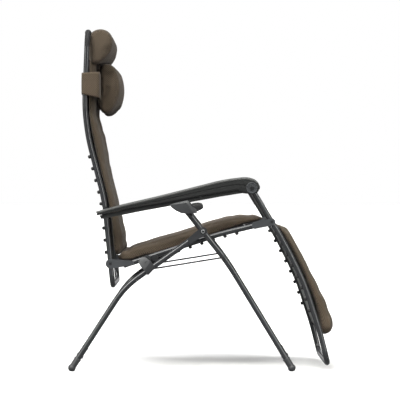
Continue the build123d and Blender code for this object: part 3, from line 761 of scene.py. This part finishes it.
# ---- Slings, their lacing and the pillow strap ---------------------------------------------------
def sling(name, points, bends, node, body, tube, tube_r, first, steps, lacing_node):
    """Woven cloth between the side tubes, sagging a little, with hems, eyelets and elastic loops."""
    line = Route(points, bends)
    tube_line = Route(*tube)
    stations = [first + 42.0 * k for k in steps]
    places, tangents = tube_line.at(stations)
    marks = [line.s[int(np.argmin(np.linalg.norm(line.line - p, axis=1)))] for p in places]
    half = 222.0
    s = np.linspace(0, line.length, int(line.length / 5))
    y = np.concatenate([np.linspace(-half, -190, 9), np.linspace(-180, 180, 31), np.linspace(190, half, 9)])
    pull = np.max([np.exp(-((s - m) / 9.0) ** 2) for m in marks], axis=0)
    verts, faces = [], []
    for face in (1, -1):
        for si, pi in zip(s, pull):
            ends = float(smoothstep(min(si, line.length - si), 0, 60))
            for yj in y:
                side = float(smoothstep(abs(yj), 150, half))
                wide = yj * (1 - 0.016 * (1 - pi) * side * ends)
                sag = -5.5 * ends * (1 - (yj / half) ** 2) - 0.8 * side * (1 - pi) * math.sin(si * 0.15)
                thick = 0.7 + 0.9 * float(smoothstep(abs(yj), 196, 199))
                verts.append((si, wide, sag + face * thick))
    n, m = len(s), len(y)
    for i in range(n - 1):
        for j in range(m - 1):
            a = i * m + j
            faces.append([a, a + m, a + m + 1, a + 1])
            faces.append([n * m + a, n * m + a + 1, n * m + a + m + 1, n * m + a + m])
    rim = ([i * m for i in range(n)] + [(n - 1) * m + j for j in range(1, m)]
           + [i * m + m - 1 for i in range(n - 2, -1, -1)] + [j for j in range(m - 2, 0, -1)])
    for k, a in enumerate(rim):
        b = rim[(k + 1) % len(rim)]
        faces.append([a, b, n * m + b, n * m + a])
    obj = new_object(name, np.array(verts) * MM, faces)
    co = coords(obj)
    attribute = obj.data.attributes.new("weave", "FLOAT_VECTOR", "POINT")
    attribute.data.foreach_set("vector", (co * np.array([1, 1, 0])).astype(np.float32).ravel())
    bend_along(obj, line)
    obj.data.materials.append(M_SLING)
    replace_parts(obj, node)
    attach(obj, body)

    rings, cords = Builder(), Builder()
    spots, ways = line.at(marks)
    for (px, pz), (tx, tz), (cx, cz), (ux, uz) in zip(places, tangents, spots, ways):
        nx, nz = -uz, ux
        for _, sign in SIDES:
            edge = sign * (half - 11)
            rings.lathe([(-2.4, 3.4), (-2.4, 6.0), (-1.2, 7.2), (1.2, 7.2), (2.4, 6.0), (2.4, 3.4), (0, 3.0),
                         (-2.4, 3.4)], (cx, edge, cz), (nx, 0, nz), 18)
            side_y = sign * FRAME_Y
            out = np.array([tz, 0.0, -tx])
            way = np.array([tx, 0.0, tz])
            lift = np.array([-tz, 0.0, tx])
            centre = np.array([px, side_y, pz])
            collar = centre - np.array([0.0, sign * (tube_r - 1.0), 0.0])
            cords.lathe([(0, 0), (0, 4.0), (2.0, 4.0), (3.2, 2.6), (3.2, 0)], collar, (0, -sign, 0), 14)
            grip = centre - np.array([0.0, sign * (tube_r - 0.5), 0.0])
            for shift, rise in ((-2.2, 1.2), (2.2, -1.2)):
                start = np.array([cx, edge + sign * 1.0, cz]) + way * shift * 0.5 + lift * rise
                middle = np.array([cx, sign * (half + 5), cz]) + way * shift * 1.1 + lift * rise
                cords.tube([start, middle, 0.5 * (middle + grip) + way * shift * 0.3, grip], 1.6, 8)
            knob = centre + out * (tube_r + 0.6)
            cords.lathe([(-1, 0), (-1, 5.6), (1.2, 6.2), (3.8, 6.1), (6.0, 4.8), (7.2, 2.6), (7.6, 0)], knob,
                        out, 16)
    eyelets = finish_hard(rings.build(name + "_eyelets"), body, M_BLACK, 60)
    loops = finish_hard(cords.build(name + "_loops"), body, M_CORD, 60)
    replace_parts(loops, lacing_node)
    return obj


BACK_TUBE = ([(-396.2, 1116), (-404.5, 905), (-392, 800), (-337, 590), (-311, 330)], [600, 690, 600])
SEAT_TUBE = ([(-270, 361.5), (60, 470), (198, 502.4)], [1200])
LEG_TUBE = ([(164.2, 636.6), (279, 447), (350, 305), (407, 128), (420, 75)], [1200, 900, 900])
sling("back_sling_cloth", [(-396.5, 1108), (-404.5, 905), (-392, 800), (-337, 590), (-313, 350)],
      [600, 690, 600],
      "back_sling", "back", BACK_TUBE, 9, 380, (0, 1, 2, 3, 4, 6, 7, 8), "back_lacing")
sling("seat_sling_cloth", [(-213.0, 380.2), (60, 470), (147.4, 490.5)], [1200], "seat_sling", "seat",
      SEAT_TUBE,
      9, 196, range(6), "seat_lacing")
sling("legrest_sling_cloth", [(254, 488), (279, 447), (350, 305), (402, 144)], [700, 900], "legrest_sling",
      "legrest",
      LEG_TUBE, 9.5, 186, range(8), "legrest_lacing")


def strap():
    """A wide fabric band round the back frame, deeper in front, that holds the pillow."""
    x0, x1, half, r = -413.3, -353.5, 276.8, 12.0
    plan = []
    for cx, cy, a0 in ((x1 - r, half - r, 0.0), (x0 + r, half - r, 90.0), (x0 + r, -half + r, 180.0),
                       (x1 - r, -half + r, 270.0)):
        for a in np.linspace(a0, a0 + 90, 7):
            t = math.radians(a)
            plan.append((cx + r * math.cos(t), cy + r * math.sin(t)))
    dense = []
    for i, p in enumerate(plan):
        q = plan[(i + 1) % len(plan)]
        steps = max(1, int(math.dist(p, q) / 8))
        for k in range(steps):
            dense.append((p[0] + (q[0] - p[0]) * k / steps, p[1] + (q[1] - p[1]) * k / steps))
    plan = np.array(dense)
    nxt, prv = np.roll(plan, -1, 0), np.roll(plan, 1, 0)
    t = nxt - prv
    t /= np.linalg.norm(t, axis=1, keepdims=True)
    nrm = np.stack([t[:, 1], -t[:, 0]], 1)
    run = np.concatenate([[0], np.cumsum(np.linalg.norm(np.diff(plan, axis=0), axis=1))])
    f = (plan[:, 0] - x0) / (x1 - x0)
    low, high = 951 - 15 * f, 1023 + 4 * f
    rows = 13
    verts, weave = [], []
    for face in (1.0, -0.9):
        for k in range(rows):
            v = k / (rows - 1)
            hem = 0.9 if k in (0, 1, rows - 2, rows - 1) else 0.0
            bow = 1.1 * math.sin(math.pi * v)
            wave = np.array([noise.noise(Vector((a * 0.02, v * 2.5, 4.0))) for a in run])
            off = face * 1.0 + (bow + hem * 0.4 if face > 0 else 0) + wave * 0.5
            z = low + (high - low) * v + 1.5 * np.sin(run * 0.021 + v)
            p = plan + nrm * off[:, None]
            verts += [(a, b, c) for (a, b), c in zip(p, z)]
            weave += [(a, c, 0) for a, c in zip(run, z)]
    n = len(plan)
    faces = []
    for i in range(rows - 1):
        for j in range(n):
            a, b = i * n + j, i * n + (j + 1) % n
            faces += [[a, b, b + n, a + n], [rows * n + a, rows * n + a + n, rows * n + b + n, rows * n + b]]
    for row in (0, rows - 1):
        for j in range(n):
            a, b = row * n + j, row * n + (j + 1) % n
            faces.append([a, b, rows * n + b, rows * n + a])
    obj = new_object("pillow_strap_cloth", np.array(verts) * MM, faces)
    attribute = obj.data.attributes.new("weave", "FLOAT_VECTOR", "POINT")
    attribute.data.foreach_set("vector", (np.array(weave) * MM).astype(np.float32).ravel())
    obj.data.materials.append(M_PAD)
    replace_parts(obj, "pillow_strap")
    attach(obj, "headrest")


strap()

# ---- Armrests, locks and small parts -------------------------------------------------------------
ARM_TOP = Smooth([(-362, 549), (-282, 570.5), (-144, 603), (-7, 637.5), (62, 654.5), (120, 663.5),
                  (152, 665.3),
                  (176, 659.5), (190, 648.5), (197.5, 633)])
TOP_EDGE = [(-362, 549), (-282, 570.5), (-144, 603), (-7, 637.5), (62, 654.5), (120, 663.5), (152, 665.3),
            (176, 659.5), (190, 648.5), (197.5, 633)]
LOW_EDGE = [(-357, 534.5), (-247, 558.8), (-110, 581), (-7, 601.5), (120, 622), (142, 614), (156, 609),
            (172, 607.3),
            (188, 612), (197.5, 629)]

for side, sign in SIDES:
    arm_y = sign * ARM_Y
    top = Builder()
    sections = []
    for s in np.concatenate([np.linspace(0, 8, 4), np.linspace(14, ARM_TOP.length - 8, 70),
                             np.linspace(ARM_TOP.length - 6, ARM_TOP.length, 4)]):
        (px, pz), (tx, tz) = [v[0] for v in ARM_TOP.at([s])]
        end = math.sqrt(max(0.0, 1 - max(0.0, (8 - s) / 8) ** 2)) * 0.25 + 0.75
        depth = 9.5 * end * float(1 - 0.6 * smoothstep(s, ARM_TOP.length - 45, ARM_TOP.length))
        half = 23.6 * (0.94 + 0.06 * end)
        ring = [(half * math.cos(a), -4.2 + 4.2 * math.sin(a)) for a in np.linspace(0, math.pi, 15)]
        ring += [(-half, -depth * 0.8), (-half + 1.6, -depth), (half - 1.6, -depth), (half, -depth * 0.8)]
        sections.append([(px - tz * n, arm_y + y, pz + tx * n) for y, n in ring])
    top.loft(sections)
    cap = finish_hard(top.build("armrest_top_" + side), "armrests", M_ARM_TOP_PAINTED_LIGHT, 50)
    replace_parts(cap, "armrest_pad_" + side)

    body = Builder()
    sections = []
    for x in np.concatenate([np.linspace(-359, 110, 50), np.linspace(116, 196.5, 26)]):
        zt = float(np.interp(x, [p[0] for p in TOP_EDGE], [p[1] for p in TOP_EDGE]))
        zb = float(np.interp(x, [p[0] for p in LOW_EDGE], [p[1] for p in LOW_EDGE]))
        zt -= 9.0 * float(1 - 0.7 * smoothstep(x, 160, 196))
        high = max(zt - zb, 1.0)
        k = 21.8 + 1.0 * float(smoothstep(x, -300, -355))
        shape = [(k, 1.0), (k, 0.62), (k - 1.6, 0.58), (k - 1.6, 0.50), (k + 0.7, 0.46), (k + 0.7, 0.14),
                 (k - 1.5, 0.0)]
        ring = [(y, zb + high * f) for y, f in shape] + [(-y, zb + high * f) for y, f in reversed(shape)]
        sections.append([(x, arm_y + y, z) for y, z in ring])
    body.loft(sections)
    finish_hard(body.build("armrest_side_" + side), "armrests", M_SHELL, 25)

    hub = Builder()
    hub.lathe([(21.5, 0), (21.5, 19.4), (23.6, 19.2), (24.2, 18.2), (23.8, 15.5), (22.8, 14.8), (22.8, 9.0),
               (24.4, 8.2),
               (24.4, 0)], (169, arm_y, 628.7), (0, sign, 0), 40)
    finish_hard(hub.build("hub_cap_" + side), "armrests", M_BRACKET, 25)
    screw = Builder()
    screw.lathe([(24.0, 0), (24.0, 6.4), (25.0, 6.0), (25.4, 4.2), (25.4, 2.8), (24.6, 2.4), (24.6, 0)],
                (169, arm_y, 628.7), (0, sign, 0), 24)
    screw.lathe([(22.0, 0), (22.0, 3.4), (23.2, 3.0), (23.4, 0)], (-5.5, arm_y, 597.9), (0, sign, 0), 14)
    finish_hard(screw.build("hub_screw_" + side), "armrests", M_PIN, 30)

    shield = Builder()
    edge = [(-110, 571.5), (-106, 563), (-89.5, 551), (-72, 542.5), (-56, 541), (-33, 541.5), (-18, 543),
            (-20, 556),
            (-34, 566), (-42, 578), (-45, 585.5), (-52, 586.5), (-58.7, 585.5), (-85, 579)]
    mid = np.mean(edge, axis=0)
    rings = []
    for grow, out in ((1.0, 17.6), (1.0, 19.2), (0.93, 20.6)):
        rings.append([(mid[0] + (x - mid[0]) * grow, arm_y + sign * out, mid[1] + (z - mid[1]) * grow)
                      for x, z in edge])
    verts = [p for r in rings for p in r]
    n = len(edge)
    ridge = [(-53, arm_y + sign * 23.4, 578), (-37, arm_y + sign * 22.6, 549)]
    verts += ridge
    a, b = 3 * n, 3 * n + 1
    faces = [list(range(n))]
    for i in range(2):
        for k in range(n):
            k2 = (k + 1) % n
            faces.append([i * n + k, i * n + k2, (i + 1) * n + k2, (i + 1) * n + k])
    o = 2 * n
    for k, apex in ((0, a), (1, a), (2, b), (3, b), (4, b), (5, b), (6, b), (7, b), (8, a), (9, a), (10, a),
                    (11, a),
                    (12, a), (13, a)):
        faces.append([o + k, o + (k + 1) % n, apex])
    faces += [[o + 2, a, b], [o + 8, b, a]]
    shield.add(verts, faces)
    finish_hard(shield.build("lock_shield_" + side, smooth=False), "lock_housings",
                M_SHIELD, 12)

    grip = Builder()
    outline = [(-38, 566), (-33, 572.5), (-12, 575), (2.5, 572.5), (5.5, 562.5), (0, 556.5), (-22, 545.5),
               (-36, 547)]
    grip.loft([[(x, arm_y + y, z) for x, z in outline] for y in (-12.5, 12.5)])
    lever = grip.build("lever_grip_" + side)
    rounding = lever.modifiers.new("Bevel", "BEVEL")
    rounding.width = 0.003
    rounding.segments = 3
    apply_modifiers(lever)
    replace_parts(finish_hard(lever, "lever_" + side, M_BLACK, 30), "lock_lever_" + side)

    rod_node = nodes["stay_rod_" + side]
    corners = [rod_node.matrix_world @ Vector(c) for c in rod_node.bound_box]
    lo = [min(c[k] for c in corners) / MM for k in range(3)]
    hi = [max(c[k] for c in corners) / MM for k in range(3)]
    mid_y = 0.5 * (lo[1] + hi[1])
    rod = Builder()
    rod.tube([(lo[0] + 3, mid_y, lo[2] + 2.5), (hi[0] - 12, mid_y, hi[2] - 8)], 3.0, 12)
    finish_hard(rod.build("stay_rod_sleeve_" + side), "stay_rods", M_ROD, 60)

    cover = Builder()
    outline = [(-220.2, 377), (-197.2, 393.8), (-175.3, 376.6), (-161.2, 354.3), (-179.4, 334.8),
               (-185.6, 328.9),
               (-198.6, 346.8), (-209.6, 358.8)]
    out = [3, 4, 15, 3, 1, 0, 14, 7]
    verts = [(x, sign * 289, z) for x, z in outline]
    verts += [(x, sign * (306 + o), z) for (x, z), o in zip(outline, out)]
    faces = [list(range(8))] + [[k, (k + 1) % 8, 8 + (k + 1) % 8, 8 + k] for k in range(8)]
    faces += [[8, 9, 10], [8, 10, 14], [8, 14, 15], [10, 11, 14], [11, 12, 14], [12, 13, 14]]
    cover.add(verts, faces)
    cap = cover.build("pivot_cover_" + side, smooth=False)
    rounding = cap.modifiers.new("Bevel", "BEVEL")
    rounding.width = 0.0016
    rounding.segments = 2
    apply_modifiers(cap)
    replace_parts(finish_hard(cap, "rear_legs", M_SHIELD, 18), "pivot_block_" + side)

    boss = Builder()
    boss.lathe([(283.4, 0), (283.4, 11.5), (286.6, 11.0), (286.8, 0)], (-161.5, 0, 388.6), (0, sign, 0), 24)
    finish_hard(boss.build("lug_washer_" + side), "seat", M_BLACK, 40)

    rivet = Builder()
    for (x, z), r in (((3, 479.5), 5.2),):
        for y in (sign * 313.0,):
            ring = [(x + r * math.cos(t), y, z + r * math.sin(t))
                    for t in np.linspace(0, 2 * math.pi, 28, endpoint=False)]
            rivet.tube(ring, 1.1, 8, closed=True, up=(0, 1, 0))
    finish_hard(rivet.build("crossing_ring_" + side), "rear_legs", M_STEEL, 60)

# ---- Floor, light and camera -------------------------------------------------------------------
bpy.ops.mesh.primitive_grid_add(x_subdivisions=8, y_subdivisions=8, size=160, location=(0, 0, 0))
floor = bpy.context.object
floor.name = "floor"
floor_mat, floor_bsdf = shader("pale_floor", (0.93, 0.93, 0.93), 0.9, Specular_IOR_Level=0.1)
fg = Graph(floor_mat)
eye = fg.node("ShaderNodeLightPath").outputs["Is Camera Ray"]
fg.link(fg.mix(eye, (0.16, 0.16, 0.165), (0.93, 0.93, 0.93)), floor_bsdf.inputs["Base Color"])
floor.data.materials.append(floor_mat)

world = bpy.data.worlds.new("studio")
scene.world = world
world.use_nodes = True
wg = Graph(world)
background = world.node_tree.nodes["Background"]
toward = wg.node("ShaderNodeSeparateXYZ")
wg.link(wg.node("ShaderNodeTexCoord").outputs["Generated"], toward.inputs[0])
# a dark camera side with a ring of soft light round it, brighter overhead
toward_camera = wg.math("MULTIPLY_ADD", toward.outputs[1], -0.5, 0.5)
ring = wg.ramp(toward_camera, [(0.0, (0.55, 0.55, 0.56)), (0.50, (0.20, 0.20, 0.21)),
                               (0.75, (0.08, 0.08, 0.085)),
                               (0.79, (9.0, 9.0, 8.8)), (0.835, (9.0, 9.0, 8.8)),
                               (0.875, (0.04, 0.04, 0.045)),
                               (1.0, (0.02, 0.02, 0.022))])
height = wg.math("MULTIPLY_ADD", toward.outputs[2], 0.5, 0.5)
overhead = wg.ramp(height, [(0.0, (0.30, 0.30, 0.31)), (0.45, (0.50, 0.50, 0.50)),
                            (0.72, (1.35, 1.35, 1.32))])
studio_light = wg.mix(1.0, ring, overhead, "MULTIPLY")
seen = wg.node("ShaderNodeLightPath").outputs["Is Camera Ray"]
wg.link(wg.mix(seen, studio_light, (1.0, 1.0, 1.0)), background.inputs["Color"])
background.inputs["Strength"].default_value = 1.0


def sun(name, direction, energy, angle, glossy=True):
    data = bpy.data.lights.new(name, "SUN")
    data.energy = energy
    data.angle = math.radians(angle)
    obj = bpy.data.objects.new(name, data)
    obj.rotation_euler = Vector(direction).to_track_quat("-Z", "Y").to_euler()
    obj.visible_glossy = glossy
    scene.collection.objects.link(obj)


sun("key", (0.30, 0.25, -1.0), 2.6, 35)
sun("front", (-0.22, 1.0, -0.62), 0.35, 25, glossy=False)
sun("side", (0.55, 0.75, -0.55), 0.5, 20)

CAM_X, CAM_Z, CAM_Y = -0.0415, 0.625, -8.29
camera_data = bpy.data.cameras.new("camera")
camera = bpy.data.objects.new("camera", camera_data)
scene.collection.objects.link(camera)
camera.location = (CAM_X, CAM_Y, CAM_Z)
camera.rotation_euler = (math.pi / 2, 0, 0)
camera_data.sensor_width = 36
camera_data.lens = 209.9
camera_data.shift_x = 0.025
camera_data.shift_y = -0.0275
camera_data.clip_end = 300
scene.camera = camera
scene.view_settings.view_transform = "Standard"
